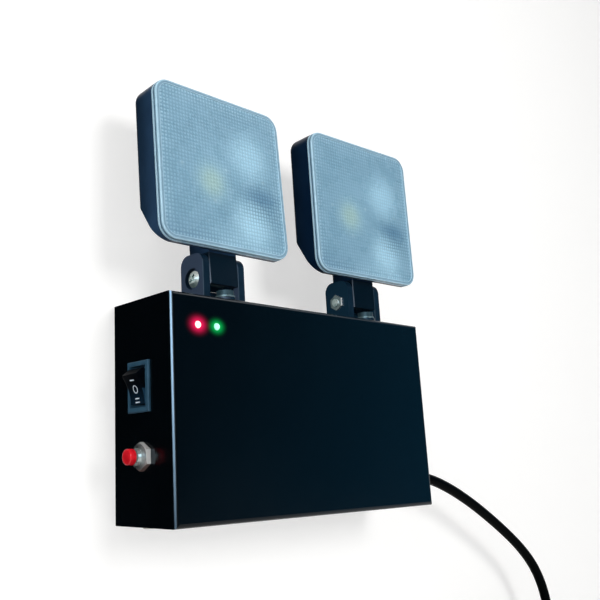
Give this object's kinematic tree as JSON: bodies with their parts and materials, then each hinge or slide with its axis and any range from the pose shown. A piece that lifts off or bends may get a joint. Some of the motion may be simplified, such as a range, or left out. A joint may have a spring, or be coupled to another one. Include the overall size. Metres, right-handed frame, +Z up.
{
  "type": "twin head emergency light",
  "caption": "Wall-mounted emergency light: folded steel case with two square lamp heads on swivelling yokes, rocker switch, test button, indicator lights and a coiled mains cord.",
  "frame": {"origin": "midway between the two wall screw holes, on the case's back face", "axes": "+X to the viewer's right along the wall, +Y into the wall, +Z up"},
  "size_m": [0.3266, 0.0418, 0.3905],
  "materials": {
    "black_paint": "gloss",
    "black_plastic": "gloss",
    "grey_plastic": "satin",
    "lens": "clear",
    "bright_steel": "plated",
    "zinc_steel": "zinc",
    "brass": "satin",
    "red_plastic": "gloss",
    "white_plastic": "satin",
    "red_light": "clear",
    "green_light": "clear",
    "board": "satin",
    "white_board": "satin",
    "phosphor": "satin",
    "reflector": "metallised",
    "rubber": "matt",
    "cord": "satin",
    "battery_sleeve": "gloss",
    "copper_iron": "satin"
  },
  "bodies": {
    "case": {"front_cover": "black_paint", "back_plate": "black_paint", "case_screws": "zinc_steel", "battery_pack": "battery_sleeve", "battery_strap": "zinc_steel", "strap_screws": "zinc_steel", "circuit_board": "board", "board_standoffs": "brass", "board_screws": "zinc_steel", "transformer": "copper_iron", "capacitors": "black_plastic", "terminal_block": "white_plastic", "indicator_board": "board", "red_light": "red_light", "green_light": "green_light", "switch_body": "grey_plastic", "switch_terminals": "brass", "button_bushing": "bright_steel", "button_nut": "bright_steel", "button_spring": "bright_steel", "button_terminals": "brass", "strain_relief": "rubber", "power_cord": "cord", "cord_coil": "cord", "cord_tie": "rubber", "plug_body": "cord", "plug_pins": "bright_steel", "swivel_screws": "bright_steel", "swivel_washers": "bright_steel", "swivel_nuts": "zinc_steel"},
    "rocker": {"rocker": "black_plastic"},
    "button": {"test_button": "red_plastic", "button_plunger": "bright_steel"},
    "yoke_left": {"yoke_left": "black_plastic", "pivot_bolt_left": "bright_steel", "pivot_nut_left": "bright_steel"},
    "yoke_right": {"yoke_right": "black_plastic", "pivot_bolt_right": "bright_steel", "pivot_nut_right": "bright_steel"},
    "head_left": {"head_housing_left": "black_plastic", "head_lens_left": "lens", "lens_gasket_left": "rubber", "reflector_left": "reflector", "led_board_left": "white_board", "led_chip_left": "phosphor", "led_screws_left": "zinc_steel"},
    "head_right": {"head_housing_right": "black_plastic", "head_lens_right": "lens", "lens_gasket_right": "rubber", "reflector_right": "reflector", "led_board_right": "white_board", "led_chip_right": "phosphor", "led_screws_right": "zinc_steel"}
  },
  "joints": [
    {"name": "swivel_left", "type": "hinge", "parent": "case", "child": "yoke_left", "pos_m": [-0.0477, -0.0343, 0.016], "axis": [0, 0, 1], "range_deg": [-45, 45]},
    {"name": "swivel_right", "type": "hinge", "parent": "case", "child": "yoke_right", "pos_m": [0.0477, -0.0343, 0.016], "axis": [0, 0, 1], "range_deg": [-43, 47]},
    {"name": "tilt_left", "type": "hinge", "parent": "yoke_left", "child": "head_left", "pos_m": [-0.0477, -0.0265, 0.0261], "axis": [1, 0, 0], "range_deg": [-9, 20]},
    {"name": "tilt_right", "type": "hinge", "parent": "yoke_right", "child": "head_right", "pos_m": [0.04797, -0.0265, 0.0261], "axis": [0.9994, -0.0349, 0], "range_deg": [-11.5, 17.5]},
    {"name": "rocker_pivot", "type": "hinge", "parent": "case", "child": "rocker", "pos_m": [-0.0819, -0.0185, -0.0206], "axis": [0, 1, 0], "range_deg": [0, 40]},
    {"name": "test_button", "type": "slide", "parent": "case", "child": "button", "axis": [1, 0, 0], "range_m": [0, 0.0018], "stiffness_N_per_m": 600, "springref_m": -0.0015, "deforming": ["button_spring"]}
  ]
}
